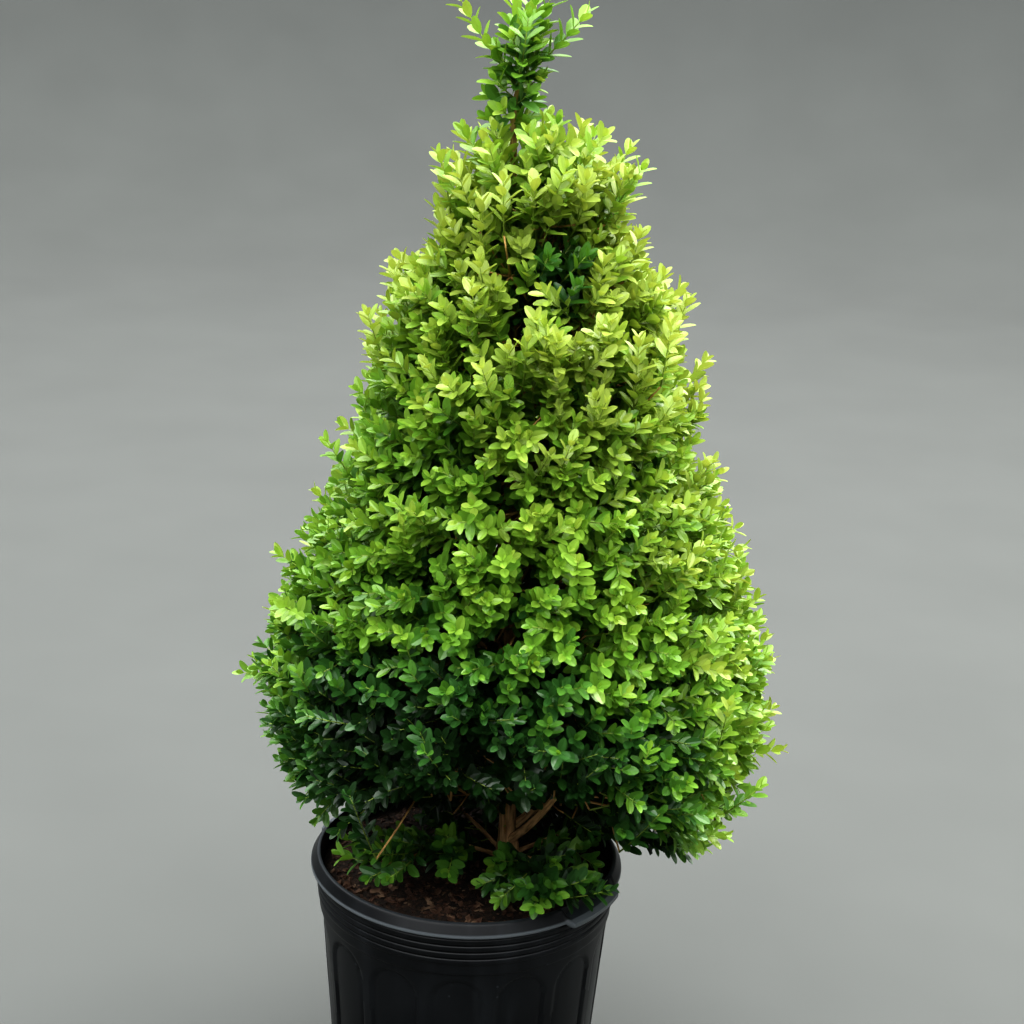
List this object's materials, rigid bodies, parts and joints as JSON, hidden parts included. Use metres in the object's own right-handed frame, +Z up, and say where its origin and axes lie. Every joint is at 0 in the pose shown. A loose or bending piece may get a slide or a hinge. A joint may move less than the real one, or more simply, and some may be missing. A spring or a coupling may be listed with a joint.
{
  "type": "potted boxwood cone topiary",
  "caption": "Boxwood clipped as a cone with an unclipped leader, growing in soil in a round black nursery pot with a rolled rim, rings and arched panels.",
  "frame": {"origin": "centre of the pot's flat underside", "axes": "+Z up along the pot's axis; -Y is the front, the side the plant is looked at from; the plant stands 46 mm towards +X of the pot's axis"},
  "size_m": [0.6136, 0.5978, 1.2918],
  "materials": {
    "pot_plastic": "black moulded polyethylene, dusty and lightly scuffed",
    "soil": "dark bark-based potting mix with chips",
    "bark": "tan young boxwood bark, browner and rougher low down",
    "leaves": "small waxy leaves, yellow-green at the tips and darker within"
  },
  "bodies": {
    "root": {"pot": "pot_plastic", "soil": "soil", "trunk": "bark", "bough_1": "bark", "bough_2": "bark", "bough_3": "bark", "bough_4": "bark", "bough_5": "bark", "low_bough_1": "bark", "low_bough_2": "bark", "low_bough_3": "bark", "low_bough_4": "bark", "low_bough_5": "bark", "crown_skirt": "leaves", "crown_lower": "leaves", "crown_middle": "leaves", "crown_upper": "leaves", "low_spray_1": "leaves", "low_spray_2": "leaves", "low_spray_3": "leaves", "low_spray_4": "leaves", "low_spray_5": "leaves", "leader_tuft": "leaves"}
  },
  "joints": []
}
